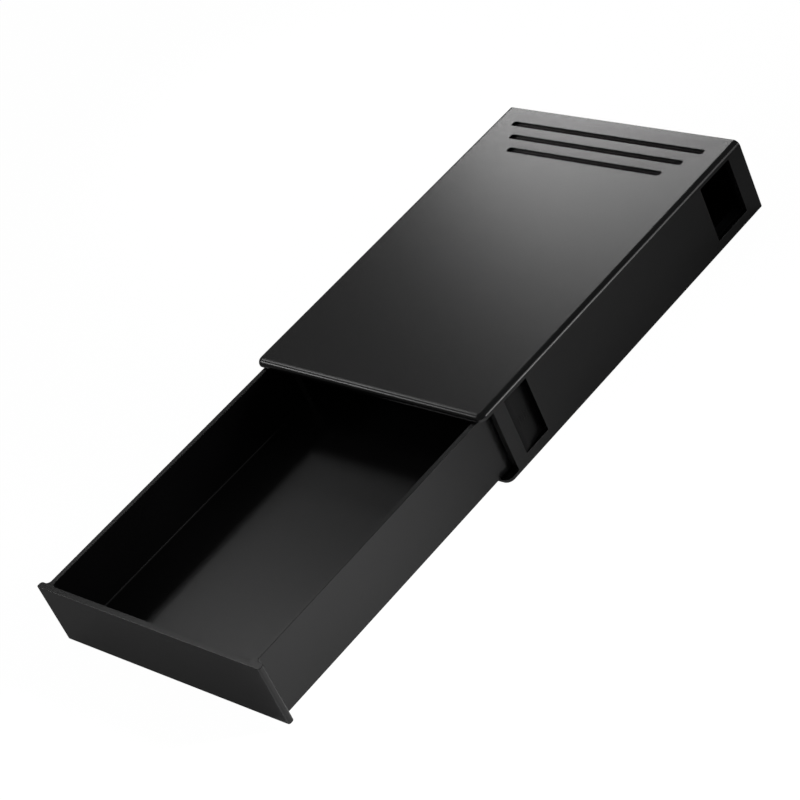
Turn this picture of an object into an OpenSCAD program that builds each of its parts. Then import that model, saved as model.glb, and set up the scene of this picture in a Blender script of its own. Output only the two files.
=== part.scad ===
// Under desk drawer: a flat sleeve bonded to the underside of a desk, with a
// pull-out tray held in by two sprung stop latches that show in the side windows.
// Millimetres. +Z up, front of the drawer towards -Y.
// Origin: centre of the flat top face that lies against the desk.

/* [Housing] */
// Width of the housing over its side walls
housing_w = 200; // [160:1:240]
// Length of the housing over its top and base plates
housing_l = 275; // [225:1:330]
// Height of the housing
housing_h = 54; // [44:0.5:70]
// Thickness of the side walls
side_t = 4.5; // [3.5:0.1:6]
// Thickness of the top plate
top_t = 4.7; // [4.2:0.1:7]
// Thickness of the base plate
base_t = 2.8; // [2.2:0.1:5]
// How far the side walls stop short of the plates at the front
side_setback = 10.7; // [8:0.1:16]
// Radius of the top edges
edge_r = 4; // [1:0.1:4.2]
// Radius of the lower edges
base_edge_r = 1.2; // [0.4:0.1:2]
// Plan radius of the front corners of both plates
corner_r = 5.2; // [4.4:0.1:12]
// Thickness of the panel that closes the back
back_t = 3; // [2:0.1:5]

/* [Windows and grooves] */
// Distance from the front of the plates to the front window
front_window_y = 21.2; // [18:0.1:30]
// Length of the front window
front_window_l = 21.9; // [18:0.1:22.5]
// Distance from the back end to the rear window
rear_window_y = 14; // [10:0.1:24]
// Length of the rear window
rear_window_l = 31.7; // [26:0.1:40]
// Height left below the windows
window_sill = 7.6; // [6:0.1:12]
// Outer skin left beside the channel that the latch runs in
channel_skin = 0.7; // [0.6:0.1:1.5]
// Width of the shallow grooves in the top face
groove_w = 4.5; // [3:0.1:6]
// Depth of the grooves
groove_d = 2.2; // [1:0.1:3]
// Length of the groove nearest the back
groove_l = 166; // [100:1:190]
// How much shorter each groove is than the one behind it
groove_step = 16.6; // [0:0.2:24]
// Spacing of the grooves
groove_pitch = 13.05; // [9:0.05:20]
// Distance from the back end to the middle of the first groove
groove_first = 16.2; // [10:0.1:30]
// Number of grooves
groove_count = 3; // [0:1:5]

/* [Drawer tray] */
// Gap between the tray and each side wall
tray_gap = 1.2; // [1.1:0.1:2]
// Gap between the top plate and the rim of the tray
rim_gap = 0.9; // [0.8:0.1:3]
// Gap between the tray and the base plate
floor_gap = 1.5; // [1.4:0.1:3]
// Thickness of the tray walls
tray_wall = 3.9; // [3:0.1:5]
// Thickness of the tray floor
tray_floor = 3.9; // [3:0.1:5]
// Thickness of the front panel
panel_t = 4.1; // [3:0.1:6]
// Thickness of the wings at the ends of the front panel
wing_t = 4.6; // [3.5:0.1:6]
// How far each wing stands out past the side of the housing
wing_out = 1; // [0:0.1:4]
// How far the front panel reaches below the tray
panel_drop = 1.2; // [0:0.1:1.3]
// Inner upright corner radius of the tray
tray_corner_r = 3; // [1:0.1:10]

/* [Latches] */
// Distance from the back of the tray to the tip of a latch
latch_reach = 32.8; // [30:0.1:38]
// Depth of the latch tip below the outer face of the side wall
latch_inset = 0.9; // [0.9:0.1:1.6]
// Thickness of the latch plate
latch_t = 2.2; // [1.6:0.1:3]
// Gap between the latch tip and the stop
stop_gap = 0.5; // [0.2:0.05:1]
// Diameter of the latch pin
pin_d = 2; // [1.5:0.1:2.4]
// Number of grip ribs on each latch
rib_count = 5; // [0:1:7]

/* [Hidden] */
$fn = 64;
eps = 0.5;

// ---- housing datums
half_w = housing_w / 2;
y_front = -housing_l / 2;
y_back = housing_l / 2;
y_side_front = y_front + side_setback;
inner_x = half_w - side_t;
z_ceiling = -top_t;
z_base = -(housing_h - base_t);
z_window_low = -(housing_h - window_sill);
channel_depth_x = half_w - channel_skin;
jamb_lean = 1.6;
back_rebate = 1.2;
y_back_inner = y_back - back_t;

// ---- front and rear window edges
fw_front = y_front + front_window_y;
fw_rear = fw_front + front_window_l;
rw_rear = y_back - rear_window_y;
rw_front = rw_rear - rear_window_l;

// ---- tray datums, drawn pulled out to the stop
rear_clear = 3;
closed_gap = 1;
tray_x = inner_x - tray_gap;
tray_in_x = tray_x - tray_wall;
z_rim = z_ceiling - rim_gap;
z_tray_low = z_base + floor_gap;
z_tray_floor = z_tray_low + tray_floor;
z_panel_low = z_tray_low - panel_drop;
y_tray_rear = fw_front + stop_gap + latch_reach;
travel = y_back_inner - rear_clear - y_tray_rear;
y_wing_rear = y_side_front - closed_gap - travel;
y_panel_face = y_wing_rear - wing_t;
y_panel_in = y_panel_face + panel_t;
y_tray_in_rear = y_tray_rear - tray_wall;
tray_low_r = 1;
tray_floor_r = 1;
wing_x = half_w + wing_out;
wing_root_r = 3;
wing_rear_r = 2.2;
wing_front_r = 1.4;
panel_low_r = 1.5;
panel_top_r = 0.5;

// ---- latch datums, right-hand side
latch_tip_x = half_w - latch_inset;
latch_tip_y = y_tray_rear - latch_reach;
latch_flat = 3;
latch_tip_lean = 0.6;
knuckle_r = 2;
knuckle_sink = 0.1;
pivot_back = 7.8;
pin_r = pin_d / 2;
pin_seat_clear = 0.02;
pin_run_clear = 0.05;
pin_end = 0.4;
pivot_x = tray_x - knuckle_r - knuckle_sink;
pivot_y = y_tray_rear - pivot_back;
latch_slope = (latch_tip_x - (pivot_x + knuckle_r - knuckle_sink))
    / (pivot_y - latch_tip_y - latch_flat);
pad_t = 2.4;
pad_len = 38.5;
pocket_wall = 1.6;
pocket_x = tray_in_x - pad_t + pocket_wall;
pocket_front_clear = 2.6;
ear_top = 3.9;
ear_low = 4.1;
ear_clear = 0.3;
ear_face_y = pivot_y - knuckle_r - ear_clear;
barrel_clear = 0.3;
barrel_back_clear = 0.4;
latch_under = 0.3;
latch_floor_gap = 0.5;
z_latch_top = z_rim;
z_latch_low = z_window_low - latch_under;
z_pocket_low = z_latch_low - latch_floor_gap;
z_barrel_top = z_rim - ear_top - barrel_clear;
z_barrel_low = z_pocket_low + ear_low - pin_end + barrel_clear;
z_pin_low = z_pocket_low + pin_end;
pin_len = z_rim - pin_end - z_pin_low;
latch_root_clear = 0.7;
latch_root_y = ear_face_y - latch_root_clear;
neck_overlap = 0.6;
neck_root_y = latch_root_y - neck_overlap;
neck_sink = 0.05;
neck_out = 0.55;
neck_in = 0.2;
neck_in_pivot = 0.8;
rib_h = 6;
rib_w = 0.9;
rib_pitch = 2.5;
rib_out = 0.2;
rib_middle = 6.4;

// ---- channel in each side wall
channel_under = 0.6;
z_channel_low = z_latch_low - channel_under;

// ---- running parts
rail_w = 11;
rail_gap = 0.1;
rail_side_gap = 0.2;
rail_t = floor_gap - rail_gap;
rail_lip_drop = 0.3;
rail_lip_top = z_channel_low - rail_lip_drop;
rail_lip_t = tray_gap - rail_side_gap;
rail_front_clear = 3.5;
rail_back_clear = 6;
pad_h = 0.6;
pad_l = 22;
pad_w = 2.6;
pad_place = 0.6;
pad_x = pad_place * tray_x;
bumper_r = 5;
bumper_h = 2.7;
bumper_edge_r = 1;
bumper_stem_r = 2.2;
bumper_stem = 2;
bumper_hole_spare = 0.2;
bumper_place = 0.62;
bumper_x = bumper_place * tray_x;
bumper_z = (z_rim + z_tray_low) / 2;
spring_t = 0.4;
spring_w = 12;
spring_bend_back = 4.2;
spring_tip_back = 1.5;
spring_foot = 2;
spring_turn = 1.2;
spring_clear = 0.05;
spring_leg_gap = 0.1;

// ---- helpers
// Rounded puck: radius r, edge radius e on its top, from z = -h to z = 0
module puck(r, e, h)
{
    rotate_extrude()
    {
        translate([0, -h]) square([r, h - e]);
        translate([0, -h]) square([r - e, h]);
        intersection()
        {
            translate([r - e, -e]) circle(r = e);
            translate([0, -h]) square([r, h]);
        }
    }
}

// Section of a slab of half width w with its two top edges rounded
module slab_section(w, e, h)
{
    translate([-w, -h]) square([2 * w, h - e]);
    translate([-w + e, -h]) square([2 * (w - e), h]);
    intersection()
    {
        translate([-w, -h]) square([2 * w, h]);
        for (s = [-1, 1])
            translate([s * (w - e), -e]) circle(r = e);
    }
}

// Plate with rounded top edges at its sides and front, square at the back
module edged_plate(w, y0, y1, r, e, h)
{
    translate([0, y1, 0])
        rotate([90, 0, 0])
            linear_extrude(y1 - y0 - r) slab_section(w, e, h);
    for (s = [-1, 1])
        translate([s * (w - r), y0 + r, 0]) puck(r, e, h);
    translate([w - r, y0 + r, 0])
        rotate([90, 0, -90])
            linear_extrude(2 * (w - r))
            {
                translate([0, -h]) square([r, h - e]);
                translate([0, -h]) square([r - e, h]);
                intersection()
                {
                    translate([r - e, -e]) circle(r = e);
                    translate([0, -h]) square([r, h]);
                }
            }
}

module right_and_left()
{
    children();
    mirror([1, 0, 0]) children();
}

// Box from two opposite corners
module span(a, b)
{
    translate(a) cube(b - a);
}

// ---- housing
module sleeve_solid()
{
    edged_plate(half_w, y_front, y_back, corner_r, edge_r, top_t);
    translate([0, 0, -housing_h])
        mirror([0, 0, 1])
            edged_plate(half_w, y_front, y_back, corner_r, base_edge_r, base_t);
    right_and_left()
        span([inner_x, y_side_front, z_base], [half_w, y_back, z_ceiling]);
}

module groove(i)
{
    len = groove_l - i * groove_step;
    end_r = 1.5;
    translate([-len / 2, y_back - groove_first - i * groove_pitch - groove_w / 2, -groove_d])
        linear_extrude(groove_d + eps)
        {
            translate([end_r, 0]) square([len - 2 * end_r, groove_w]);
            translate([0, end_r]) square([len, groove_w - 2 * end_r]);
            for (x = [end_r, len - end_r], y = [end_r, groove_w - end_r])
                translate([x, y]) circle(r = end_r);
        }
}

// Hidden channel between the windows; its front end is the stop for the latch
module latch_channel()
{
    lean = jamb_lean / side_t;
    translate([0, 0, z_channel_low])
        linear_extrude(z_ceiling - z_channel_low)
            polygon([
                [inner_x - eps, fw_front - jamb_lean - lean * eps],
                [channel_depth_x, fw_front - lean * channel_skin],
                [channel_depth_x, rw_rear],
                [inner_x - eps, rw_rear]
            ]);
}

module windows()
{
    for (w = [[fw_front, fw_rear], [rw_front, rw_rear]])
        span([inner_x, w[0], z_window_low], [half_w + eps, w[1], z_ceiling]);
}

module housing_sleeve()
{
    color("#1d1d1f")
    difference()
    {
        sleeve_solid();
        for (i = [0 : groove_count - 1])
            groove(i);
        right_and_left()
        {
            latch_channel();
            windows();
        }
        span(
            [-inner_x - back_rebate, y_back_inner, z_base - back_rebate],
            [inner_x + back_rebate, y_back + eps, z_ceiling + back_rebate]
        );
    }
}

module back_panel()
{
    fit = 0.1;
    color("#1b1b1d")
    difference()
    {
        span(
            [-inner_x - back_rebate + fit, y_back_inner, z_base - back_rebate + fit],
            [inner_x + back_rebate - fit, y_back, z_ceiling + back_rebate - fit]
        );
        for (s = [-1, 1])
            translate([s * bumper_x, y_back_inner - eps, bumper_z])
                rotate([-90, 0, 0])
                    cylinder(r = bumper_stem_r + pin_seat_clear, h = bumper_stem + bumper_hole_spare + eps);
    }
}

module bumper_shape()
{
    translate([bumper_x, y_back_inner, bumper_z])
        rotate([90, 0, 0])
        {
            translate([0, 0, -bumper_stem])
                cylinder(r = bumper_stem_r, h = bumper_stem + eps);
            rotate_extrude()
            {
                square([bumper_r, bumper_h - bumper_edge_r]);
                square([bumper_r - bumper_edge_r, bumper_h]);
                intersection()
                {
                    translate([bumper_r - bumper_edge_r, bumper_h - bumper_edge_r])
                        circle(r = bumper_edge_r);
                    square([bumper_r, bumper_h]);
                }
            }
        }
}

module rail_shape()
{
    y0 = y_side_front + rail_front_clear;
    y1 = y_back_inner - rail_back_clear;
    translate([0, y1, 0])
        rotate([90, 0, 0])
            linear_extrude(y1 - y0)
            {
                translate([inner_x - rail_w, z_base]) square([rail_w, rail_t]);
                translate([inner_x - rail_lip_t, z_base])
                    square([rail_lip_t, rail_lip_top - z_base]);
            }
}

// ---- drawer tray
module tray_outer()
{
    translate([0, y_tray_rear, 0])
        rotate([90, 0, 0])
            linear_extrude(y_tray_rear - y_panel_in)
            {
                translate([-tray_x, z_tray_low + tray_low_r])
                    square([2 * tray_x, z_rim - z_tray_low - tray_low_r]);
                translate([-tray_x + tray_low_r, z_tray_low])
                    square([2 * (tray_x - tray_low_r), tray_low_r + eps]);
                for (s = [-1, 1])
                    translate([s * (tray_x - tray_low_r), z_tray_low + tray_low_r])
                        circle(r = tray_low_r);
            }
}

module rounded_plan(x, y0, y1, r)
{
    translate([-x + r, y0]) square([2 * (x - r), y1 - y0]);
    translate([-x, y0 + r]) square([2 * x, y1 - y0 - 2 * r]);
    for (px = [-x + r, x - r], py = [y0 + r, y1 - r])
        translate([px, py]) circle(r = r);
}

// Plan of the front panel with its wings and the fillets behind them
module panel_plan()
{
    translate([-tray_in_x, y_panel_face]) square([2 * tray_in_x, panel_t]);
    right_and_left()
    difference()
    {
        union()
        {
            translate([tray_in_x - eps, y_panel_face])
                square([wing_x - tray_in_x + eps - wing_front_r, wing_t]);
            translate([wing_x - wing_rear_r, y_panel_face + wing_front_r])
                square([wing_rear_r, wing_t - wing_front_r - wing_rear_r]);
            translate([wing_x - wing_front_r, y_panel_face + wing_front_r])
                circle(r = wing_front_r);
            translate([wing_x - wing_rear_r, y_wing_rear - wing_rear_r])
                circle(r = wing_rear_r);
            translate([tray_in_x, y_wing_rear - eps])
                square([tray_wall + wing_root_r, wing_root_r + eps]);
        }
        translate([wing_x - wing_rear_r, y_wing_rear - wing_rear_r])
            difference()
            {
                square([wing_rear_r + eps, wing_rear_r + eps]);
                circle(r = wing_rear_r);
            }
        translate([tray_x + wing_root_r, y_wing_rear + wing_root_r])
            circle(r = wing_root_r);
        translate([tray_x + wing_root_r, y_wing_rear])
            square([eps, 2 * wing_root_r]);
    }
}

// Face-on outline of the front panel
module panel_face()
{
    w = wing_x;
    translate([-w, z_panel_low + panel_low_r])
        square([2 * w, z_rim - z_panel_low - panel_low_r - panel_top_r]);
    translate([-w + panel_low_r, z_panel_low])
        square([2 * (w - panel_low_r), z_rim - z_panel_low]);
    for (s = [-1, 1])
    {
        translate([s * (w - panel_low_r), z_panel_low + panel_low_r])
            circle(r = panel_low_r);
        translate([s * (w - panel_top_r), z_rim - panel_top_r])
            circle(r = panel_top_r);
    }
}

module front_panel()
{
    intersection()
    {
        translate([0, 0, z_panel_low])
            linear_extrude(z_rim - z_panel_low) panel_plan();
        translate([0, y_wing_rear + 2 * wing_root_r, 0])
            rotate([90, 0, 0])
                linear_extrude(wing_t + 4 * wing_root_r) panel_face();
    }
}

// Space inside the tray, with a rounded seam between floor and walls
module tray_hollow()
{
    r = tray_floor_r;
    translate([0, 0, z_tray_floor + r])
        linear_extrude(z_rim - z_tray_floor)
            rounded_plan(tray_in_x, y_panel_in, y_tray_in_rear, tray_corner_r);
    translate([0, 0, z_tray_floor])
        linear_extrude(r + eps)
            rounded_plan(tray_in_x - r, y_panel_in + r, y_tray_in_rear - r, tray_corner_r - r);
    right_and_left()
        translate([tray_in_x - r, y_tray_in_rear - tray_corner_r, z_tray_floor + r])
            rotate([90, 0, 0])
                cylinder(r = r, h = y_tray_in_rear - y_panel_in - 2 * tray_corner_r);
    for (y = [y_panel_in + r, y_tray_in_rear - r])
        translate([-tray_in_x + tray_corner_r, y, z_tray_floor + r])
            rotate([0, 90, 0])
                cylinder(r = r, h = 2 * (tray_in_x - tray_corner_r));
    for (x = [-1, 1], y = [y_panel_in + tray_corner_r, y_tray_in_rear - tray_corner_r])
        translate([x * (tray_in_x - tray_corner_r), y, z_tray_floor + r])
            rotate_extrude()
            {
                translate([0, -r]) square([tray_corner_r - r, r + eps]);
                intersection()
                {
                    translate([tray_corner_r - r, 0]) circle(r = r);
                    translate([0, -r]) square([tray_corner_r, r]);
                }
            }
}

// Thickened wall inside each rear corner that carries a latch
module latch_pad()
{
    translate([0, 0, z_tray_floor - eps])
        linear_extrude(z_rim - z_tray_floor + eps)
            polygon([
                [tray_in_x + eps, y_tray_in_rear + eps],
                [tray_in_x - pad_t, y_tray_in_rear + eps],
                [tray_in_x - pad_t, y_tray_rear - pad_len + pad_t],
                [tray_in_x, y_tray_rear - pad_len],
                [tray_in_x + eps, y_tray_rear - pad_len]
            ]);
}

module latch_pocket()
{
    span(
        [pocket_x, latch_tip_y - pocket_front_clear, z_pocket_low],
        [tray_x + eps, ear_face_y, z_rim + eps]
    );
    span(
        [pocket_x, ear_face_y - eps, z_barrel_low - barrel_clear],
        [tray_x + eps, pivot_y + knuckle_r + barrel_back_clear, z_barrel_top + barrel_clear]
    );
    translate([pivot_x, pivot_y, z_pin_low])
        cylinder(r = pin_r + pin_seat_clear, h = z_rim - z_pin_low + eps);
}

module drawer_tray()
{
    color("#202022")
    difference()
    {
        union()
        {
            difference()
            {
                union()
                {
                    tray_outer();
                    front_panel();
                }
                tray_hollow();
            }
            right_and_left() latch_pad();
        }
        right_and_left() latch_pocket();
    }
}

module pad_shape()
{
    translate([pad_x - pad_l / 2, y_tray_rear - tray_wall / 2 - pad_w / 2, z_rim])
        cube([pad_l, pad_w, pad_h]);
}

// ---- latch, right-hand side
// Outer face of the sloping part of the plate at distance y along the drawer
function latch_face_x(y) = latch_tip_x - latch_slope * (y - latch_tip_y - latch_flat);

// Plan of the plate: a short flat at the tip, then the slope down to the pivot
module latch_plan()
{
    root_x = latch_face_x(latch_root_y);
    polygon([
        [latch_tip_x, latch_tip_y],
        [latch_tip_x, latch_tip_y + latch_flat],
        [root_x, latch_root_y],
        [root_x - latch_t, latch_root_y],
        [latch_tip_x - latch_t, latch_tip_y + latch_flat],
        [latch_tip_x - latch_t, latch_tip_y - latch_tip_lean]
    ]);
}

// Barrel round the pin and the short neck, between the ears, that ties it to the plate
module latch_neck_plan()
{
    polygon([
        [pivot_x + knuckle_r - neck_sink, pivot_y],
        [pivot_x + knuckle_r + neck_out, neck_root_y],
        [pivot_x - neck_in, neck_root_y],
        [pivot_x - neck_in_pivot, pivot_y]
    ]);
    translate([pivot_x, pivot_y]) circle(r = knuckle_r);
}

module latch_ribs()
{
    z_mid = (z_ceiling + z_window_low) / 2;
    mid = (rib_count - 1) / 2;
    for (i = [0 : rib_count - 1])
    {
        y = latch_tip_y + latch_flat + rib_middle + (i - mid) * rib_pitch;
        translate([latch_face_x(y) - rib_w / 2 + rib_out, y, z_mid])
            rotate([0, 0, atan(latch_slope)])
                cube([rib_w, rib_w, rib_h], center = true);
    }
}

module latch_shape()
{
    difference()
    {
        union()
        {
            translate([0, 0, z_latch_low])
                linear_extrude(z_latch_top - z_latch_low) latch_plan();
            translate([0, 0, z_barrel_low])
                linear_extrude(z_barrel_top - z_barrel_low) latch_neck_plan();
            latch_ribs();
        }
        translate([pivot_x, pivot_y, z_barrel_low - eps])
            cylinder(r = pin_r + pin_run_clear, h = z_barrel_top - z_barrel_low + 2 * eps);
    }
}

module pin_shape()
{
    translate([pivot_x, pivot_y, z_pin_low]) cylinder(r = pin_r, h = pin_len);
}

// Leaf bent to a V: one leg lies on the pocket wall, the other bears on the latch
module spring_shape()
{
    z_mid = (z_ceiling + z_window_low) / 2;
    y_bend = ear_face_y - spring_bend_back;
    y_end = latch_tip_y + latch_flat + spring_tip_back;
    x_end = latch_face_x(y_end) - latch_t - spring_clear;
    x_bend = latch_face_x(y_bend) - latch_t - spring_clear;
    translate([0, 0, z_mid - spring_w / 2])
        linear_extrude(spring_w)
            polygon([
                [pocket_x, y_end + spring_foot],
                [pocket_x, y_bend],
                [x_bend - spring_t, y_bend + spring_turn],
                [x_bend, y_bend],
                [x_end, y_end],
                [x_end - spring_t, y_end],
                [x_bend - spring_t, y_bend],
                [pocket_x + spring_t + spring_leg_gap, y_bend],
                [pocket_x + spring_t, y_end + spring_foot]
            ]);
}

// ---- left and right pieces
module slide_rail_right()
{
    color("#3a3a3d") rail_shape();
}

module slide_rail_left()
{
    color("#3a3a3d") mirror([1, 0, 0]) rail_shape();
}

module rear_bumper_right()
{
    color("#2a2a2a") bumper_shape();
}

module rear_bumper_left()
{
    color("#2a2a2a") mirror([1, 0, 0]) bumper_shape();
}

module tilt_pad_right()
{
    color("#45454a") pad_shape();
}

module tilt_pad_left()
{
    color("#45454a") mirror([1, 0, 0]) pad_shape();
}

module latch_right()
{
    color("#1c1c1e") latch_shape();
}

module latch_left()
{
    color("#1c1c1e") mirror([1, 0, 0]) latch_shape();
}

module latch_pin_right()
{
    color("#b8bcc0") pin_shape();
}

module latch_pin_left()
{
    color("#b8bcc0") mirror([1, 0, 0]) pin_shape();
}

module latch_spring_right()
{
    color("#a8adb3") spring_shape();
}

module latch_spring_left()
{
    color("#a8adb3") mirror([1, 0, 0]) spring_shape();
}

housing_sleeve();
back_panel();
slide_rail_left();
slide_rail_right();
rear_bumper_left();
rear_bumper_right();
drawer_tray();
tilt_pad_left();
tilt_pad_right();
latch_left();
latch_right();
latch_pin_left();
latch_pin_right();
latch_spring_left();
latch_spring_right();
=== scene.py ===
"""Under desk drawer: housing, pull-out tray and stop latches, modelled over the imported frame."""

import math

import bmesh
import bpy
from bpy.props import FloatProperty, FloatVectorProperty, IntProperty, PointerProperty
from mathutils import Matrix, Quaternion, Vector


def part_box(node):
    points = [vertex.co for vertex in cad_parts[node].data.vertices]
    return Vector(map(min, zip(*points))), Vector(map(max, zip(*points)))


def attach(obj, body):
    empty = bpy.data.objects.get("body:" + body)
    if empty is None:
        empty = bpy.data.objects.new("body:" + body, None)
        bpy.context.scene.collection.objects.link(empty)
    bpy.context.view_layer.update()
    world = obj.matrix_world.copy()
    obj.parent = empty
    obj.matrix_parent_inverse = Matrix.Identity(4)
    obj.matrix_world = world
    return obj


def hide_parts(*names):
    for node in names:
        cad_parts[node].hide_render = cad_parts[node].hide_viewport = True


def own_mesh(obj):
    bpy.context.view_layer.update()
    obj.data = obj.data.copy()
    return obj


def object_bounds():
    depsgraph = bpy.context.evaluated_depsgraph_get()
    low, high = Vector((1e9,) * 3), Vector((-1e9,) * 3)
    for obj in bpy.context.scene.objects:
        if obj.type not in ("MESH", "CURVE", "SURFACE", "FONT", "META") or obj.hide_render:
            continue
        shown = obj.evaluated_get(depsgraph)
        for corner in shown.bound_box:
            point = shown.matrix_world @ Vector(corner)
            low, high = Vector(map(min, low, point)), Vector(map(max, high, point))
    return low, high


bl_info = {
    "name": "Under Desk Drawer",
    "version": (1, 0, 0),
    "blender": (4, 5, 0),
    "location": "View3D > Sidebar > Drawer",
    "description": "Builds the housing, tray, latches and finishes of an under desk drawer",
    "category": "Mesh",
}

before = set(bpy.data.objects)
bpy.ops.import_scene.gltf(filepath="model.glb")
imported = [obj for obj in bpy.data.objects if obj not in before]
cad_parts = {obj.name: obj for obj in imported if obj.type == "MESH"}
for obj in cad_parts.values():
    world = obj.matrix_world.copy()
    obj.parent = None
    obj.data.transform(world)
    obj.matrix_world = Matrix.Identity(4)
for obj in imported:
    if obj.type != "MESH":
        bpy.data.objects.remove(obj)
CAD_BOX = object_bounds()
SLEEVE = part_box("housing_sleeve")
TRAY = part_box("drawer_tray")
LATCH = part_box("latch_right")
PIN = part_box("latch_pin_right")
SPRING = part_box("latch_spring_right")
PIN_X = (PIN[0].x + PIN[1].x) / 2
PIN_Y = (PIN[0].y + PIN[1].y) / 2
PIN_END = 0.0004  # how far the pocket's floor lies below the pin's lower end
POCKET_LOW = PIN[0].z - PIN_END
TIP_LEAD = 0.0006  # how far the tip's inner edge leads its outer one
LATCH_TIP = LATCH[0].y + TIP_LEAD
CLEAR = 0.004  # how far a cutting block reaches past what it cuts


# ---------------------------------------------------------------- settings
def distance(name, description, default, low, high):
    """A length in metres that a user may change."""
    return FloatProperty(
        name=name, description=description, default=default, min=low, max=high,
        unit="LENGTH", subtype="DISTANCE")


def watts(name, description, default):
    """The power of a light in watts."""
    return FloatProperty(name=name, description=description, default=default, min=0.0, max=200.0)


class HousingSizes(bpy.types.PropertyGroup):
    """Sizes of the housing that its outer box doesn't give."""

    wall: distance("Side wall", "Thickness of each side wall", 0.0045, 0.003, 0.008)
    top: distance("Top plate", "Thickness of the top plate", 0.0047, 0.003, 0.008)
    base: distance("Base plate", "Thickness of the base plate", 0.0028, 0.002, 0.006)
    setback: distance(
        "Wall setback", "How far the side walls stop short of the plates",
        0.0107, 0.005, 0.02)
    corner: distance("Plan corner", "Plan radius of the two front corners", 0.0052, 0.003, 0.012)
    top_edge: distance("Top edge", "Radius of the edge round the top face", 0.004, 0.001, 0.0045)
    low_edge: distance("Lower edge", "Radius of the edge round the base", 0.0012, 0.0004, 0.002)
    sill: distance("Window sill", "Height left below each window", 0.0076, 0.005, 0.012)
    front_window_near: distance(
        "Front window, near edge", "From the front end to the front windows", 0.0212, 0.015, 0.03)
    front_window_far: distance(
        "Front window, far edge", "From the front end to the far edge of the front windows",
        0.0431, 0.035, 0.055)
    rear_window_near: distance(
        "Rear window, near edge", "From the back end to the near edge of the rear windows",
        0.0457, 0.035, 0.06)
    rear_window_far: distance(
        "Rear window, far edge", "From the back end to the rear windows", 0.0140, 0.008, 0.02)
    back: distance("Back panel seat", "Depth of the seat for the back panel", 0.003, 0.002, 0.005)
    edge: distance("Edge break", "Small round on every other edge", 0.00025, 0.0001, 0.0006)


class GrooveSizes(bpy.types.PropertyGroup):
    """The shallow grooves across the top face."""

    count: IntProperty(name="Grooves", description="Number of grooves", default=3, min=0, max=5)
    width: distance("Width", "Width of each groove", 0.0045, 0.002, 0.008)
    depth: distance("Depth", "Depth of each groove", 0.0022, 0.001, 0.0035)
    length: distance("Longest", "Length of the groove nearest the back", 0.166, 0.1, 0.19)
    step: distance("Step", "How much shorter each next groove is", 0.0166, 0.0, 0.03)
    pitch: distance("Pitch", "Spacing of the grooves", 0.01305, 0.008, 0.02)
    corner: distance("Corner", "Plan radius at each groove's ends", 0.0015, 0.0005, 0.002)
    first: distance("First", "Distance from the back end to the first groove", 0.0162, 0.01, 0.03)


class TraySizes(bpy.types.PropertyGroup):
    """Sizes of the tray that its outer box doesn't give."""

    half_width: distance("Half width", "Half the width over the tray's side walls", 0.0943, 0.08, 0.12)
    wall: distance("Wall", "Thickness of the side and rear walls", 0.0039, 0.002, 0.006)
    floor: distance("Floor", "Thickness of the floor", 0.0039, 0.002, 0.006)
    panel: distance("Front panel", "Thickness of the front panel", 0.0041, 0.003, 0.006)
    wing: distance("Wings", "Thickness of the wings beside the front panel", 0.0046, 0.003, 0.006)
    drop: distance("Panel drop", "How far the front panel reaches below the tray", 0.0012, 0.0, 0.002)
    wing_root: distance(
        "Wing root", "Upright radius between a wing and the side wall", 0.0029, 0.001, 0.004)
    wing_back: distance("Wing back", "Upright radius at the back of each wing", 0.0021, 0.0005, 0.0022)
    wing_face: distance("Wing face", "Upright radius at the front of each wing", 0.0014, 0.0005, 0.0022)
    corner: distance("Inner corner", "Upright radius inside each corner", 0.003, 0.001, 0.01)
    edge: distance("Edge break", "Small round on every other edge", 0.0003, 0.0001, 0.0006)


class LatchSizes(bpy.types.PropertyGroup):
    """Sizes of the two stop latches."""

    thick: distance("Plate", "Thickness of the latch plate", 0.0022, 0.0015, 0.003)
    flat: distance("Tip flat", "Length of the tip that stays level with the wall", 0.003, 0.001, 0.006)
    knuckle: distance("Knuckle", "Radius of the barrel round the pin", 0.002, 0.0015, 0.003)
    ribs: IntProperty(name="Ribs", description="Number of grip ribs", default=5, min=0, max=7)
    rib_height: distance("Rib height", "Height of each grip rib", 0.006, 0.003, 0.01)
    rib_pitch: distance("Rib pitch", "Spacing of the grip ribs", 0.0025, 0.0015, 0.004)
    edge: distance("Edge break", "Small round on the latch's edges", 0.00012, 0.00005, 0.0006)


class SpringSizes(bpy.types.PropertyGroup):
    """Sizes of the two leaf springs."""

    thick: distance("Leaf", "Thickness of the leaf", 0.0004, 0.0002, 0.0006)
    slope: FloatProperty(
        name="Slope", description="How far the free leg leans out for each unit of its length",
        default=0.2273, min=0.1, max=0.4)
    keep: FloatProperty(
        name="Pressed share", description="Share of the spring's depth left with its latch fully pressed",
        default=0.5, min=0.3, max=1.0)
    edge: distance("Edge break", "Small round on the leaf's edges", 0.00005, 0.00002, 0.0002)


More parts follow.
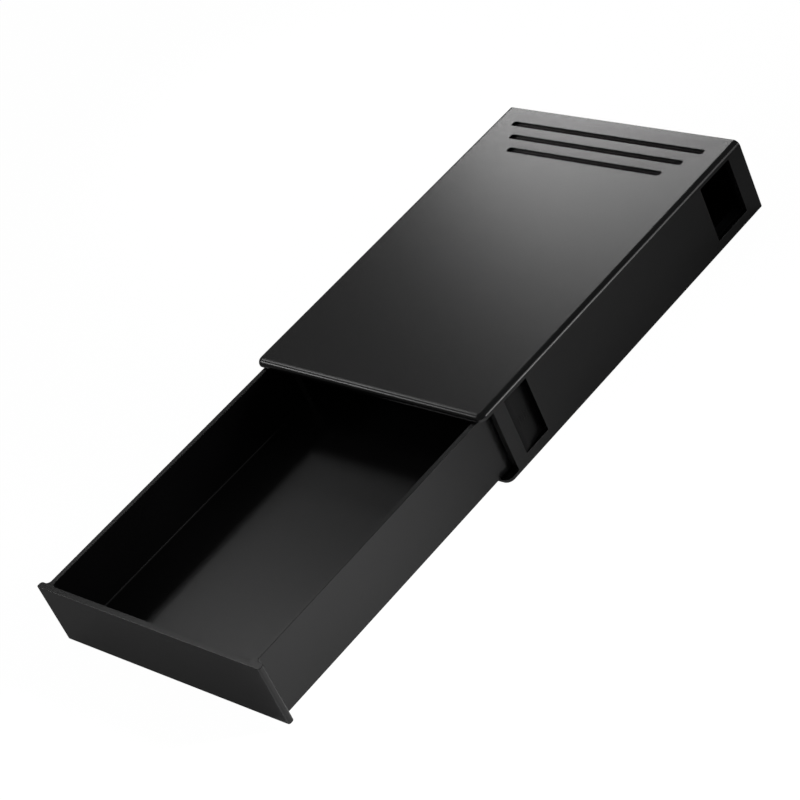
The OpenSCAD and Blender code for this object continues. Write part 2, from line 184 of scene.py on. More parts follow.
class FinishColours(bpy.types.PropertyGroup):
    """Base colours of the finishes."""

    housing: FloatVectorProperty(
        name="Housing", description="Colour of the housing's plastic",
        default=(0.0062, 0.0061, 0.0064), min=0.0, max=1.0, subtype="COLOR")
    tray: FloatVectorProperty(
        name="Tray", description="Colour of the tray's plastic",
        default=(0.0062, 0.0061, 0.0065), min=0.0, max=1.0, subtype="COLOR")
    # Darker than the housing and tray: painted shade for the dark that falls on the latches inside their
    # windows.
    latch: FloatVectorProperty(
        name="Latch", description="Colour of the latches' plastic",
        default=(0.0056, 0.0055, 0.0058), min=0.0, max=1.0, subtype="COLOR")
    rail: FloatVectorProperty(
        name="Rails", description="Colour of the running strips and tilt pads",
        default=(0.020, 0.020, 0.022), min=0.0, max=1.0, subtype="COLOR")
    rubber: FloatVectorProperty(
        name="Rubber", description="Colour of the rear bumpers",
        default=(0.012, 0.012, 0.012), min=0.0, max=1.0, subtype="COLOR")
    steel: FloatVectorProperty(
        name="Steel", description="Colour of the pins and leaf springs",
        default=(0.56, 0.57, 0.59), min=0.0, max=1.0, subtype="COLOR")


class StageSettings(bpy.types.PropertyGroup):
    """Floor, lights and camera."""

    camera_place: FloatVectorProperty(
        name="Camera", description="Where the camera stands",
        default=(1.15298, -0.88932, 0.92180), unit="LENGTH", subtype="XYZ")
    camera_target: FloatVectorProperty(
        name="Camera target", description="The point that the camera looks at",
        default=(0.00142, -0.11694, -0.02700), unit="LENGTH", subtype="XYZ")
    lens: FloatProperty(
        name="Lens", description="Focal length of the camera in millimetres",
        default=120.995, min=20.0, max=300.0)
    roll: FloatProperty(
        name="Roll", description="How far the camera is rolled about its own axis, in degrees",
        default=-25.598, min=-90.0, max=90.0)
    key: watts("Key light", "Power of the low light behind and to the left", 19.3)
    second: watts("Second light", "Power of the light beside the key light", 3.4)
    high: watts("High light", "Power of the high light to the left", 16.0)
    front: watts("Front light", "Power of the light in front and to the left", 26.0)
    right: watts("Right light", "Power of the low light to the right", 26.0)
    right_high: watts("Upper right light", "Power of the light above the low one on the right", 10.2)
    pool: FloatProperty(
        name="Floor pool", description="Brightness of the floor beside the drawer",
        default=1.0, min=0.0, max=5.0)
    back: watts("Back light", "Power of the light behind and to the right", 14.0)
    fill: FloatProperty(
        name="Fill", description="Brightness of the surroundings",
        default=0.122, min=0.0, max=2.0)
    glow: FloatProperty(
        name="Floor glow", description="Brightness of the white that the camera sees the floor with",
        default=1.06, min=0.0, max=2.0)
    glow_share: FloatProperty(
        name="Glow share", description="How much of the floor the camera sees as that plain white",
        default=0.93, min=0.0, max=1.0)
    floor: FloatVectorProperty(
        name="Floor", description="Colour of the floor",
        default=(0.86, 0.86, 0.86), min=0.0, max=1.0, subtype="COLOR")


# ---------------------------------------------------------------- modelling helpers
def only(obj):
    """Makes obj the one selected and active object, in object mode."""
    if bpy.context.object and bpy.context.object.mode != "OBJECT":
        bpy.ops.object.mode_set(mode="OBJECT")
    bpy.ops.object.select_all(action="DESELECT")
    obj.select_set(True)
    bpy.context.view_layer.objects.active = obj
    return obj


def settle(obj):
    """Puts obj's place, turn and scale into its mesh."""
    only(obj)
    bpy.ops.object.transform_apply(location=True, rotation=True, scale=True)
    return obj


def block(name, low, high):
    """A box from its lowest to its highest corner."""
    low, high = Vector(low), Vector(high)
    bpy.ops.object.select_all(action="DESELECT")
    bpy.ops.mesh.primitive_cube_add(size=1, location=(low + high) / 2, scale=high - low)
    obj = bpy.context.object
    obj.name = obj.data.name = name
    return settle(obj)


def rod(name, centre, radius, tall, sides):
    """An upright cylinder round centre."""
    bpy.ops.object.select_all(action="DESELECT")
    bpy.ops.mesh.primitive_cylinder_add(vertices=sides, radius=radius, depth=tall, location=centre)
    obj = bpy.context.object
    obj.name = obj.data.name = name
    return settle(obj)


def round_edges(obj, test, radius, segments):
    """Rounds the edges whose two end points pass the test."""
    only(obj)
    bpy.ops.object.mode_set(mode="EDIT")
    bpy.ops.mesh.select_mode(type="EDGE")
    bpy.ops.mesh.select_all(action="DESELECT")
    mesh = bmesh.from_edit_mesh(obj.data)
    found = [e for e in mesh.edges if test(e.verts[0].co, e.verts[1].co)]
    if not found:
        raise RuntimeError(f"{obj.name} has no edge to round there")
    for edge in found:
        edge.select_set(True)
    bmesh.update_edit_mesh(obj.data)
    bpy.ops.mesh.bevel(
        offset=radius, offset_type="OFFSET", segments=segments, profile=0.5,
        affect="EDGES", clamp_overlap=False)
    bpy.ops.object.mode_set(mode="OBJECT")
    return obj


def boolean(obj, tools, operation):
    """Cuts the tools out of obj, or joins them to it, and removes them."""
    for tool in tools:
        only(obj)
        step = obj.modifiers.new("shape", "BOOLEAN")
        step.operation = operation
        step.solver = "EXACT"
        step.object = tool
        bpy.ops.object.modifier_apply(modifier=step.name)
        bpy.data.objects.remove(tool)
    return obj


def cut(obj, *tools):
    return boolean(obj, tools, "DIFFERENCE")


def weld_on(obj, *tools):
    return boolean(obj, tools, "UNION")


def near(a, b):
    """True where two places agree to a thousandth of a millimetre."""
    return abs(a - b) < 1e-6


def upright(a, b):
    """True for an edge that stands straight up."""
    return near(a.x, b.x) and near(a.y, b.y)


def sided(name, way, low, high):
    """A block given for the right side, or its mirror image where way is -1."""
    (x0, y0, z0), (x1, y1, z1) = low, high
    return block(name, (min(way * x0, way * x1), y0, z0), (max(way * x0, way * x1), y1, z1))


def shift_points(obj, test, by):
    """Moves the points that pass the test."""
    only(obj)
    bpy.ops.object.mode_set(mode="EDIT")
    bpy.ops.mesh.select_mode(type="VERT")
    bpy.ops.mesh.select_all(action="DESELECT")
    mesh = bmesh.from_edit_mesh(obj.data)
    for vert in mesh.verts:
        vert.select_set(test(vert.co))
    bmesh.update_edit_mesh(obj.data)
    bpy.ops.transform.translate(value=by)
    bpy.ops.object.mode_set(mode="OBJECT")
    return obj


def tidy_faces(obj):
    """Merges doubled points and dissolves the flat seams that cutting leaves."""
    only(obj)
    bpy.ops.object.mode_set(mode="EDIT")
    bpy.ops.mesh.select_all(action="SELECT")
    bpy.ops.mesh.remove_doubles(threshold=2e-6)
    bpy.ops.mesh.dissolve_limited(angle_limit=math.radians(0.2))
    bpy.ops.object.mode_set(mode="OBJECT")
    return obj


def break_edges(obj, width, angle=35):
    """Gives every sharp edge a small round and evens out the shading."""
    only(obj)
    bpy.ops.object.shade_smooth()
    soft = obj.modifiers.new("edge break", "BEVEL")
    soft.width = width
    soft.segments = 2
    soft.limit_method = "ANGLE"
    soft.angle_limit = math.radians(angle)
    soft.use_clamp_overlap = False
    soft.harden_normals = False
    bpy.ops.object.modifier_apply(modifier=soft.name)
    even = obj.modifiers.new("even shading", "WEIGHTED_NORMAL")
    even.mode = "FACE_AREA"
    even.weight = 50
    even.keep_sharp = False
    bpy.ops.object.modifier_apply(modifier=even.name)
    return obj


def mirrored(obj, name):
    """A copy on the other side of the drawer, with its own mesh."""
    only(obj)
    bpy.ops.object.duplicate(linked=False)
    copy = bpy.context.object
    copy.name = copy.data.name = name
    bpy.ops.object.mode_set(mode="EDIT")
    bpy.ops.mesh.select_all(action="SELECT")
    bpy.ops.transform.mirror(constraint_axis=(True, False, False), center_override=(0, 0, 0))
    bpy.ops.mesh.flip_normals()
    bpy.ops.object.mode_set(mode="OBJECT")
    return copy


# ---------------------------------------------------------------- finishes
def new_finish(name):
    """An empty node material with its shader, and a pattern origin in object space."""
    made = bpy.data.materials.new(name)
    made.use_nodes = True
    nodes, links = made.node_tree.nodes, made.node_tree.links
    shader = nodes["Principled BSDF"]
    place = nodes.new("ShaderNodeTexCoord")
    return made, nodes, links, shader, place.outputs["Object"]


def noise(nodes, links, where, scale, detail):
    pattern = nodes.new("ShaderNodeTexNoise")
    pattern.inputs["Scale"].default_value = scale
    pattern.inputs["Detail"].default_value = detail
    pattern.inputs["Roughness"].default_value = 0.55
    links.new(where, pattern.inputs["Vector"])
    return pattern.outputs["Fac"]


def spread(nodes, links, value, low, high, start=0.3, end=0.7):
    """Maps a pattern's start to end onto low to high."""
    ranged = nodes.new("ShaderNodeMapRange")
    for socket, number in (("From Min", start), ("From Max", end), ("To Min", low), ("To Max", high)):
        ranged.inputs[socket].default_value = number
    links.new(value, ranged.inputs["Value"])
    return ranged.outputs["Result"]


def blend_colours(nodes, links, share, first, second):
    mixed = nodes.new("ShaderNodeMix")
    mixed.data_type = "RGBA"
    links.new(share, mixed.inputs["Factor"])
    for socket, colour in (("A", first), ("B", second)):
        target = [i for i in mixed.inputs if i.name == socket and i.type == "RGBA"][0]
        if isinstance(colour, bpy.types.NodeSocket):
            links.new(colour, target)
        else:
            target.default_value = (*colour, 1)
    return [o for o in mixed.outputs if o.type == "RGBA"][0]


def worn_edges(nodes, links, where, radius):
    """Is 1 on edges that hands and the desk rub, broken up by a fine pattern, and 0 elsewhere."""
    soft = nodes.new("ShaderNodeBevel")
    soft.samples = 4
    soft.inputs["Radius"].default_value = radius
    facing = nodes.new("ShaderNodeNewGeometry")
    dot = nodes.new("ShaderNodeVectorMath")
    dot.operation = "DOT_PRODUCT"
    links.new(soft.outputs["Normal"], dot.inputs[0])
    links.new(facing.outputs["Normal"], dot.inputs[1])
    edge = spread(nodes, links, dot.outputs["Value"], 1.0, 0.0, 0.80, 0.995)
    patchy = spread(nodes, links, noise(nodes, links, where, 140, 4), 0.25, 1.0)
    both = nodes.new("ShaderNodeMath")
    both.operation = "MULTIPLY"
    links.new(edge, both.inputs[0])
    links.new(patchy, both.inputs[1])
    return both.outputs["Value"]


def bump(nodes, links, height, distance, strength, under=None):
    raised = nodes.new("ShaderNodeBump")
    raised.inputs["Distance"].default_value = distance
    raised.inputs["Strength"].default_value = strength
    links.new(height, raised.inputs["Height"])
    if under is not None:
        links.new(under, raised.inputs["Normal"])
    return raised.outputs["Normal"]


def moulded_plastic(name, colour, rough, grain=0.000012, wear=0.35, specular=0.5):
    """Satin black plastic: fine eroded grain, faint clouding, and paler, glossier rubbed edges."""
    made, nodes, links, shader, where = new_finish(name)
    base = Vector(colour)
    cloud = spread(nodes, links, noise(nodes, links, where, 22, 4), 0.0, 1.0)
    tone = blend_colours(nodes, links, cloud, tuple(base * 0.86), tuple(base * 1.16))
    speck = spread(nodes, links, noise(nodes, links, where, 900, 2), 0.0, 0.35, 0.45, 0.75)
    tone = blend_colours(nodes, links, speck, tone, tuple(base * 1.7))
    edge = worn_edges(nodes, links, where, 0.0007)
    share = nodes.new("ShaderNodeMath")
    share.operation = "MULTIPLY"
    share.inputs[1].default_value = wear
    links.new(edge, share.inputs[0])
    worn = tuple(min(c * 3.2 + 0.004, 1) for c in base)
    links.new(blend_colours(nodes, links, share.outputs["Value"], tone, worn),
              shader.inputs["Base Color"])
    gloss = spread(nodes, links, noise(nodes, links, where, 240, 4), rough - 0.008, rough + 0.010)
    less = nodes.new("ShaderNodeMath")
    less.operation = "MULTIPLY_ADD"
    less.inputs[1].default_value = -0.05
    links.new(edge, less.inputs[0])
    links.new(gloss, less.inputs[2])
    links.new(less.outputs["Value"], shader.inputs["Roughness"])
    coarse = bump(nodes, links, noise(nodes, links, where, 1500, 3), grain, 0.55)
    fine = bump(nodes, links, noise(nodes, links, where, 4200, 2), grain * 0.5, 0.5, coarse)
    links.new(fine, shader.inputs["Normal"])
    shader.inputs["IOR"].default_value = 1.5
    shader.inputs["Specular IOR Level"].default_value = specular
    return made


def running_plastic(name, colour):
    """Low-friction strip: waxy grey with polish lines along the way that it runs."""
    made, nodes, links, shader, where = new_finish(name)
    base = Vector(colour)
    stretch = nodes.new("ShaderNodeMapping")
    stretch.inputs["Scale"].default_value = (1.0, 0.02, 1.0)
    links.new(where, stretch.inputs["Vector"])
    lines = noise(nodes, links, stretch.outputs["Vector"], 900, 3)
    tone = blend_colours(nodes, links, spread(nodes, links, lines, 0.0, 1.0),
                         tuple(base * 0.8), tuple(base * 1.3))
    links.new(tone, shader.inputs["Base Color"])
    links.new(spread(nodes, links, lines, 0.38, 0.52), shader.inputs["Roughness"])
    links.new(bump(nodes, links, lines, 0.00001, 0.4), shader.inputs["Normal"])
    return made


def bumper_rubber(name, colour):
    """Soft black rubber with a dusty bloom."""
    made, nodes, links, shader, where = new_finish(name)
    base = Vector(colour)
    bloom = spread(nodes, links, noise(nodes, links, where, 180, 5), 0.0, 1.0)
    links.new(blend_colours(nodes, links, bloom, tuple(base * 0.75), tuple(base * 1.6)),
              shader.inputs["Base Color"])
    links.new(spread(nodes, links, noise(nodes, links, where, 400, 3), 0.72, 0.88),
              shader.inputs["Roughness"])
    links.new(bump(nodes, links, noise(nodes, links, where, 1800, 3), 0.00002, 0.5),
              shader.inputs["Normal"])
    return made


def drawn_steel(name, colour):
    """Plain drawn steel with fine lines along its length."""
    made, nodes, links, shader, where = new_finish(name)
    base = Vector(colour)
    stretch = nodes.new("ShaderNodeMapping")
    stretch.inputs["Scale"].default_value = (1.0, 1.0, 0.03)
    links.new(where, stretch.inputs["Vector"])
    lines = noise(nodes, links, stretch.outputs["Vector"], 3000, 3)
    tone = blend_colours(nodes, links, spread(nodes, links, lines, 0.0, 1.0),
                         tuple(base * 0.8), tuple(base * 1.1))
    links.new(tone, shader.inputs["Base Color"])
    links.new(spread(nodes, links, lines, 0.24, 0.4), shader.inputs["Roughness"])
    links.new(bump(nodes, links, lines, 0.000008, 0.5), shader.inputs["Normal"])
    shader.inputs["Metallic"].default_value = 1.0
    return made


FINISHES = {
    "housing": (moulded_plastic, "housing satin black", {"rough": 0.22}),
    "tray": (moulded_plastic, "tray satin black", {"rough": 0.22}),
    # The latches get a darker colour and lower specular than the housing: painted shade for the dark that
    # falls on them inside the windows.
    "latch": (moulded_plastic, "latch matt black with painted shade", {"rough": 0.34, "grain": 0.00002, "specular": 0.2}),
    "rail": (running_plastic, "running strip grey", {}),
    "rubber": (bumper_rubber, "bumper rubber", {}),
    "steel": (drawn_steel, "drawn steel", {}),
}


def finish(context, look):
    """The material for a look, made the first time that a piece asks for it."""
    maker, name, traits = FINISHES[look]
    made = bpy.data.materials.get(name)
    return made or maker(name, getattr(context.scene.drawer_finish, look), **traits)


def dress(obj, material):
    """Gives obj one finish."""
    if obj.data.materials:
        for slot in obj.material_slots:
            slot.material = material
    else:
        obj.data.materials.append(material)
    return obj


# ---------------------------------------------------------------- pieces
def window_spans(s):
    """The near and far edge of the front windows, and of the rear windows."""
    front, back = SLEEVE[0].y, SLEEVE[1].y
    return (
        (front + s.front_window_near, front + s.front_window_far),
        (back - s.rear_window_near, back - s.rear_window_far),
    )


class DRAWER_OT_housing(bpy.types.Operator):
    """Model the housing: one moulded sleeve with windows, grooves and latch channels"""

    bl_idname = "drawer.housing"
    bl_label = "Housing"

    def execute(self, context):
        s, g = context.scene.drawer_housing, context.scene.drawer_grooves
        low, high = SLEEVE
        front, back = low.y, high.y
        side = high.x
        inner = side - s.wall
        ceiling, base = high.z - s.top, low.z + s.base

        body = block("housing", low, high)
        round_edges(body, lambda a, b: near(a.y, front) and near(b.y, front)
                    and near(a.x, b.x), s.corner, 10)
        round_edges(body, lambda a, b: near(a.z, high.z) and near(b.z, high.z)
                    and not (near(a.y, back) and near(b.y, back)), s.top_edge, 10)
        round_edges(body, lambda a, b: near(a.z, low.z) and near(b.z, low.z)
                    and not (near(a.y, back) and near(b.y, back)), s.low_edge, 5)

        cavity = block("cavity", (-inner, front - CLEAR, base), (inner, back + CLEAR, ceiling))
        notch = block("notch", (-side - CLEAR, front - CLEAR, base),
                      (side + CLEAR, front + s.setback, ceiling))
        lip = 0.0012  # how far the seat reaches into the walls round it
        seat = block("seat", (-inner - lip, back - s.back, base - lip),
                     (inner + lip, back + CLEAR, ceiling + lip))
        cut(body, cavity, notch, seat)

        sill = low.z + s.sill
        for start, end in window_spans(s):
            cut(body, block("window", (-side - CLEAR, start, sill), (side + CLEAR, end, ceiling)))

        (stop, _), (_, rear) = window_spans(s)
        skin = 0.0007  # left of the side wall outside a latch channel
        lean = 0.0016  # how far the stop face leans forward over the wall's thickness
        floor = sill - 0.0009
        mouth = inner - CLEAR
        for way in (-1, 1):
            channel = sided("channel", way, (mouth, stop, floor), (side - skin, rear, ceiling))
            slope = lean / s.wall
            shift_points(
                channel, lambda p: near(p.y, stop) and near(p.x, way * mouth),
                (0, -slope * (s.wall - skin + CLEAR), 0))
            cut(body, channel)

        for i in range(g.count):
            half = (g.length - i * g.step) / 2
            middle = back - g.first - i * g.pitch
            groove = block("groove", (-half, middle - g.width / 2, high.z - g.depth),
                           (half, middle + g.width / 2, high.z + CLEAR))
            round_edges(groove, upright, g.corner, 6)
            cut(body, groove)

        tidy_faces(body)
        break_edges(body, s.edge)
        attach(body, "housing")
        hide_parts("housing_sleeve")
        dress(body, finish(context, "housing"))
        return {"FINISHED"}


class DRAWER_OT_tray(bpy.types.Operator):
    """Model the tray: one moulding with its front panel, wings and latch pockets"""

    bl_idname = "drawer.tray"
    bl_label = "Tray"

    def execute(self, context):
        s = context.scene.drawer_tray
        low, high = TRAY
        half, rim, rear, face = s.half_width, high.z, high.y, low.y
        under = low.z + s.drop
        wing, wing_rear = high.x, face + s.wing
        inner, floor = half - s.wall, under + s.floor

        body = block("tray", (-wing, face, low.z), (wing, rear, rim))
        for way in (-1, 1):
            recess = sided("recess", way, (half, wing_rear, low.z - CLEAR),
                           (wing + CLEAR, rear + CLEAR, rim + CLEAR))
            round_edges(recess, lambda a, b: upright(a, b) and near(abs(a.x), half)
                        and near(a.y, wing_rear), s.wing_root, 8)
            cut(body, recess)
        cut(body, block("under", (-wing - CLEAR, wing_rear, low.z - CLEAR),
                        (wing + CLEAR, rear + CLEAR, under)))
        tidy_faces(body)
        round_edges(body, lambda a, b: upright(a, b) and near(abs(a.x), wing)
                    and near(a.y, wing_rear), s.wing_back, 7)
        round_edges(body, lambda a, b: upright(a, b) and near(abs(a.x), wing)
                    and near(a.y, face), s.wing_face, 6)

        pad_in = inner - 0.0024  # the thicker wall that holds each latch pocket
        pad_long = 0.0385
        pad_corner = 0.0024
        floor_round = 0.001
        hollow = block("hollow", (-inner, face + s.panel, floor),
                       (inner, rear - s.wall, rim + CLEAR))
        round_edges(hollow, upright, s.corner, 8)
        round_edges(hollow, lambda a, b: near(a.z, floor) and near(b.z, floor), floor_round, 5)
        for way in (-1, 1):
            pad = sided("pad", way, (pad_in, rear - pad_long, floor - CLEAR),
                        (inner + CLEAR, rear, rim + 2 * CLEAR))
            round_edges(pad, lambda a, b: upright(a, b) and near(abs(a.x), pad_in)
                        and near(a.y, rear - pad_long), pad_corner, 1)
            cut(hollow, pad)
        cut(body, hollow)

        pocket_in = inner - 0.0008
        pocket_front = LATCH_TIP - 0.0026
        ear = PIN_Y - 0.0023
        seat_front, seat_back = ear - 0.0005, PIN_Y + 0.0024
        seat_low, seat_high = POCKET_LOW + 0.0037, rim - 0.0039
        hole_radius = 0.00102
        for way in (-1, 1):
            cut(body,
                sided("pocket", way, (pocket_in, pocket_front, POCKET_LOW),
                      (half + CLEAR, ear, rim + CLEAR)),
                sided("barrel seat", way, (pocket_in, seat_front, seat_low),
                      (half + CLEAR, seat_back, seat_high)),
                rod("pin hole", (way * PIN_X, PIN_Y, (PIN[0].z + rim + CLEAR) / 2), hole_radius,
                    rim + CLEAR - PIN[0].z, 32))
        tidy_faces(body)
        break_edges(body, s.edge)
        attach(body, "drawer")
        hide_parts("drawer_tray")
        dress(body, finish(context, "tray"))
        return {"FINISHED"}


class DRAWER_OT_latches(bpy.types.Operator):
    """Model the two stop latches: sloping plate, barrel on the pin, and grip ribs"""

    bl_idname = "drawer.latches"
    bl_label = "Latches"

    def execute(self, context):
        s = context.scene.drawer_latches
        low, high = LATCH
        knuckle_sink = 0.0001
        tip_x = SLEEVE[1].x - 0.0009
        flat_y = LATCH_TIP + s.flat
        root_y = PIN_Y - s.knuckle - 0.001
        fold_y = root_y - 0.0045
        slope = (tip_x - (PIN_X + s.knuckle - knuckle_sink)) / (PIN_Y - flat_y)
        ease = 0.0004  # how far the plate stands out of a straight slope where it folds

        plate = block("latch_right_plate", (tip_x - s.thick, LATCH_TIP, low.z), (tip_x, root_y, high.z))
        only(plate)
        bpy.ops.object.mode_set(mode="EDIT")
        for y in (flat_y, fold_y):
            bpy.ops.mesh.select_all(action="SELECT")
            bpy.ops.mesh.bisect(plane_co=(0, y, 0), plane_no=(0, 1, 0))
        bpy.ops.object.mode_set(mode="OBJECT")
        for y, shift in ((fold_y, slope * (fold_y - flat_y) - ease), (root_y, slope * (root_y - flat_y))):
            shift_points(plate, lambda p: near(p.y, y), (-shift, 0, 0))
        shift_points(
            plate, lambda p: near(p.y, LATCH_TIP) and p.x < tip_x - s.thick / 2,
            (0, low.y - LATCH_TIP, 0))
        tip_round, fold_round = 0.0007, 0.0012
        round_edges(plate, lambda a, b: near(a.y, LATCH_TIP) and near(b.y, LATCH_TIP), tip_round, 4)
        for y in (flat_y, fold_y):
            round_edges(plate, lambda a, b: upright(a, b) and near(a.y, y), fold_round, 4)

        barrel_low, barrel_high = POCKET_LOW + 0.0040, high.z - 0.0042
        barrel_tall = barrel_high - barrel_low
        barrel_middle = (PIN_X, PIN_Y, (barrel_low + barrel_high) / 2)
        barrel = rod("barrel", barrel_middle, s.knuckle, barrel_tall, 40)
        neck_in, neck_out, neck_overlap = 0.0006, 0.0020, 0.0005
        neck = block("neck", (PIN_X - neck_in, root_y - neck_overlap, barrel_low),
                     (PIN_X + neck_out, PIN_Y, barrel_high))
        weld_on(plate, neck, barrel)
        hole_radius = 0.00105
        cut(plate, rod("hole", barrel_middle, hole_radius, barrel_tall + CLEAR, 32))

        housing = context.scene.drawer_housing
        middle = (SLEEVE[1].z - housing.top + SLEEVE[0].z + housing.sill) / 2
        rib_middle = flat_y + 0.0064
        rib_half, rib_sink, rib_stand, rib_round = 0.00045, 0.0008, 0.00016, 0.00015
        for i in range(s.ribs):
            y = rib_middle + (i - (s.ribs - 1) / 2) * s.rib_pitch
            x = tip_x - (slope - ease / (fold_y - flat_y)) * (y - flat_y)
            rib = block("rib", (x - rib_sink, y - rib_half, middle - s.rib_height / 2),
                        (x + rib_stand, y + rib_half, middle + s.rib_height / 2))
            round_edges(rib, upright, rib_round, 2)
            weld_on(plate, rib)
        tidy_faces(plate)
        break_edges(plate, s.edge, 40)
        left = mirrored(plate, "latch_left_plate")
        for piece, node, body in ((plate, "latch_right", "latch_r"), (left, "latch_left", "latch_l")):
            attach(piece, body)
            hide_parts(node)
            dress(piece, finish(context, "latch"))
        return {"FINISHED"}


class DRAWER_OT_springs(bpy.types.Operator):
    """Model the two leaf springs, folded to a V"""

    bl_idname = "drawer.springs"
    bl_label = "Springs"

    def execute(self, context):
        s = context.scene.drawer_springs
        low, high = SPRING
        bend_y = high.y - 0.0012
        foot_back = 0.002  # how much shorter the foot is than the leg
        bend_x = high.x - s.slope * (bend_y - low.y)

        foot = block("latch_spring_right_leaf", (low.x, low.y + foot_back, low.z),
                     (low.x + s.thick, bend_y + s.thick, high.z))
        web = block("web", (low.x, bend_y, low.z), (bend_x, bend_y + 1.5 * s.thick, high.z))
        leg = block("leg", (bend_x - s.thick, low.y, low.z), (bend_x, bend_y + s.thick, high.z))
        shift_points(leg, lambda p: near(p.y, low.y), (high.x - bend_x, 0, 0))
        weld_on(foot, web, leg)
        tidy_faces(foot)
        break_edges(foot, s.edge, 40)
        left = mirrored(foot, "latch_spring_left_leaf")
        for piece, node, joint, wall_x in (
            (foot, "latch_spring_right", "latch_right_press", low.x),
            (left, "latch_spring_left", "latch_left_press", -low.x),
        ):
            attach(piece, "drawer")
            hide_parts(node)
            dress(piece, finish(context, "steel"))
            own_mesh(piece)
        return {"FINISHED"}


class DRAWER_OT_fittings(bpy.types.Operator):
    """Finish the back panel, running strips, bumpers, pads and pins"""

    bl_idname = "drawer.fittings"
    bl_label = "Fittings"

    def execute(self, context):
        groups = (
            (("back_panel",), "housing", "housing_plastic", 0.0003),
            (("slide_rail_left", "slide_rail_right"), "rail", "rail_plastic", 0.00015),
            (("tilt_pad_left", "tilt_pad_right"), "rail", "rail_plastic", 0.00015),
            (("rear_bumper_left", "rear_bumper_right"), "rubber", "bumper_rubber", 0),
            (("latch_pin_left", "latch_pin_right"), "steel", "pin_steel", 0),
        )
        for names, look, slot_name, round_to in groups:
            for name in names:
                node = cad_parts[name]
                dress(node, finish(context, look))
                join = node.modifiers.new("join faces", "WELD")
                join.merge_threshold = 1e-6
                if round_to:
                    soft = node.modifiers.new("edge break", "BEVEL")
                    soft.width = round_to
                    soft.segments = 2
                    soft.limit_method = "ANGLE"
                    soft.angle_limit = math.radians(40)
        return {"FINISHED"}


# ---------------------------------------------------------------- stage
SOFTBOX_AWAY = 6.0
POOL_SOFTNESS = 0.06


def area_light(name, bearing, height, width, tall, power):
    """A softbox at a bearing from the drawer's back, turning to the right, and a height in degrees."""
    turn, rise = math.radians(bearing), math.radians(height)
    target = Vector((0, -0.1, 0))
    flat = math.cos(rise)
    location = SOFTBOX_AWAY * Vector((math.sin(turn) * flat, math.cos(turn) * flat, math.sin(rise)))
    bpy.ops.object.select_all(action="DESELECT")
    bpy.ops.object.light_add(type="AREA", location=location)
    lamp = bpy.context.object
    lamp.name = lamp.data.name = name
    lamp.data.shape = "RECTANGLE"
    lamp.data.size = width
    lamp.data.size_y = tall
    lamp.data.energy = power
    lamp.rotation_euler = (target - location).to_track_quat("-Z", "Y").to_euler()
    return lamp


def light_only(lamp, obj, state):
    """Makes the lamp light only obj (INCLUDE), or everything but obj (EXCLUDE)."""
    group = bpy.data.collections.new(lamp.name + " receivers")
    group.objects.link(obj)
    lamp.light_linking.receiver_collection = group
    group.collection_objects[0].light_linking.link_state = state


def floor_pool(name, location, target, cone, power):
    """A soft pool of light on the floor, which the side faces mirror."""
    bpy.ops.object.select_all(action="DESELECT")
    bpy.ops.object.light_add(type="SPOT", location=location)
    lamp = bpy.context.object
    lamp.name = lamp.data.name = name
    lamp.data.energy = power
    lamp.data.spot_size = math.radians(cone)
    lamp.data.spot_blend = 1.0
    lamp.data.shadow_soft_size = POOL_SOFTNESS
    lamp.rotation_euler = (Vector(target) - Vector(location)).to_track_quat("-Z", "Y").to_euler()
    return lamp


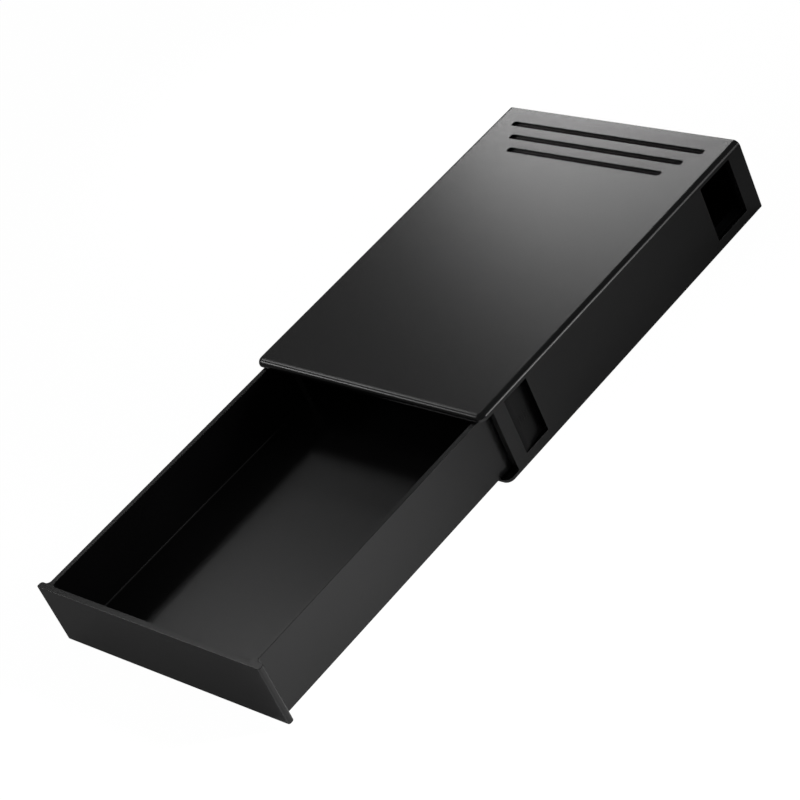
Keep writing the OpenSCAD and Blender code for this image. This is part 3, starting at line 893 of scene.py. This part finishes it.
class DRAWER_OT_stage(bpy.types.Operator):
    """Lay the floor, hang the lights and place the camera"""

    bl_idname = "drawer.stage"
    bl_label = "Stage"

    def execute(self, context):
        s = context.scene.drawer_stage
        bpy.ops.object.select_all(action="DESELECT")
        floor_side, floor_gap = 40, 0.0002
        bpy.ops.mesh.primitive_plane_add(size=floor_side, location=(0, 0, CAD_BOX[0].z - floor_gap))
        floor = bpy.context.object
        floor.name = floor.data.name = "floor"
        settle(floor)
        paper = bpy.data.materials.new("pale paper")
        paper.use_nodes = True
        nodes, links = paper.node_tree.nodes, paper.node_tree.links
        shader = nodes["Principled BSDF"]
        shader.inputs["Base Color"].default_value = (*s.floor, 1)
        shader.inputs["Roughness"].default_value = 0.9
        shader.inputs["Specular IOR Level"].default_value = 0.0
        glow = nodes.new("ShaderNodeEmission")
        glow.inputs["Color"].default_value = (1, 1, 1, 1)
        glow.inputs["Strength"].default_value = s.glow
        seen = nodes.new("ShaderNodeLightPath")  # what the camera sees of the floor is mostly plain white
        share = nodes.new("ShaderNodeMath")
        share.operation = "MULTIPLY"
        share.inputs[1].default_value = s.glow_share
        links.new(seen.outputs["Is Camera Ray"], share.inputs[0])
        mixed = nodes.new("ShaderNodeMixShader")
        links.new(share.outputs["Value"], mixed.inputs["Fac"])
        links.new(shader.outputs["BSDF"], mixed.inputs[1])
        links.new(glow.outputs["Emission"], mixed.inputs[2])
        links.new(mixed.outputs["Shader"], nodes["Material Output"].inputs["Surface"])
        floor.data.materials.append(paper)

        world = bpy.data.worlds.new("studio")
        context.scene.world = world
        world.use_nodes = True
        sky = world.node_tree.nodes["Background"]
        sky.inputs["Color"].default_value = (1, 1, 1, 1)
        sky.inputs["Strength"].default_value = s.fill

        for lamp in (
            area_light("key softbox", -46.1, 27.5, 1.1, 0.62, s.key),
            area_light("second softbox", -67.5, 41, 0.8, 0.62, s.second),
            area_light("high softbox", -92, 45, 1.6, 0.62, s.high),
            area_light("front softbox", -123, 29, 1.5, 0.62, s.front),
            area_light("right softbox", 61, 9.5, 0.5, 1.2, s.right),
            area_light("upper right softbox", 56, 19, 0.9, 0.9, s.right_high),
            area_light("back softbox", 15, 27, 1.1, 0.62, s.back),
        ):
            light_only(lamp, floor, "EXCLUDE")
        ground = CAD_BOX[0].z
        for lamp in (
            floor_pool("pool by the tray", (0.62, 0.18, 0.25), (0.16, -0.42, ground), 52, 12.4 * s.pool),
            floor_pool("wide pool", (0.60, 0.0, 0.35), (0.20, -0.50, ground), 70, 18.6 * s.pool),
            floor_pool("pool by the housing", (0.70, 0.40, 0.25), (0.30, -0.10, ground), 52, 12.2 * s.pool),
            floor_pool("pool in front", (-0.10, -1.0, 0.50), (-0.02, -0.42, ground), 60, 1.8 * s.pool),
            floor_pool("pool behind", (-0.30, 1.0, 0.50), (-0.08, 0.42, ground), 34, 4.0 * s.pool),
            floor_pool("pool on the left", (-0.80, 0.30, 0.45), (-0.28, 0.12, ground), 40, 6.0 * s.pool),
        ):
            light_only(lamp, floor, "INCLUDE")

        lens = bpy.data.cameras.new("camera")
        camera = bpy.data.objects.new("camera", lens)
        context.scene.collection.objects.link(camera)
        lens.sensor_width = 36.0
        lens.lens = s.lens
        lens.clip_start, lens.clip_end = 0.05, 100.0
        camera.location = s.camera_place
        facing = (Vector(s.camera_target) - camera.location).to_track_quat("-Z", "Y")
        roll = Quaternion((0, 0, 1), math.radians(s.roll))
        camera.rotation_euler = (facing @ roll).to_euler()
        context.scene.camera = camera
        context.scene.view_settings.view_transform = "Standard"
        return {"FINISHED"}


class DRAWER_PT_panel(bpy.types.Panel):
    """Lists what builds the drawer"""

    bl_idname = "DRAWER_PT_panel"
    bl_label = "Under Desk Drawer"
    bl_space_type = "VIEW_3D"
    bl_region_type = "UI"
    bl_category = "Drawer"

    def draw(self, context):
        for operator, settings in (
            ("drawer.housing", ("drawer_housing", "drawer_grooves")),
            ("drawer.tray", ("drawer_tray",)),
            ("drawer.latches", ("drawer_latches",)),
            ("drawer.springs", ("drawer_springs",)),
            ("drawer.fittings", ("drawer_finish",)),
            ("drawer.stage", ("drawer_stage",)),
        ):
            box = self.layout.box()
            box.operator(operator)
            for group in (getattr(context.scene, name) for name in settings):
                for name in group.bl_rna.properties.keys():
                    if name not in ("rna_type", "name"):
                        box.prop(group, name)


SETTINGS = {
    "drawer_housing": HousingSizes,
    "drawer_grooves": GrooveSizes,
    "drawer_tray": TraySizes,
    "drawer_latches": LatchSizes,
    "drawer_springs": SpringSizes,
    "drawer_finish": FinishColours,
    "drawer_stage": StageSettings,
}
OPERATORS = (
    DRAWER_OT_housing,
    DRAWER_OT_tray,
    DRAWER_OT_latches,
    DRAWER_OT_springs,
    DRAWER_OT_fittings,
    DRAWER_OT_stage,
)


def register():
    for group in SETTINGS.values():
        bpy.utils.register_class(group)
    for operator in OPERATORS:
        bpy.utils.register_class(operator)
    bpy.utils.register_class(DRAWER_PT_panel)
    for name, group in SETTINGS.items():
        setattr(bpy.types.Scene, name, PointerProperty(type=group))


def unregister():
    for name in SETTINGS:
        delattr(bpy.types.Scene, name)
    bpy.utils.unregister_class(DRAWER_PT_panel)
    for operator in reversed(OPERATORS):
        bpy.utils.unregister_class(operator)
    for group in reversed(list(SETTINGS.values())):
        bpy.utils.unregister_class(group)


def main():
    register()
    bpy.ops.drawer.stage()
    bpy.ops.drawer.housing()
    bpy.ops.drawer.tray()
    bpy.ops.drawer.latches()
    bpy.ops.drawer.springs()
    bpy.ops.drawer.fittings()


if __name__ == "__main__":
    main()
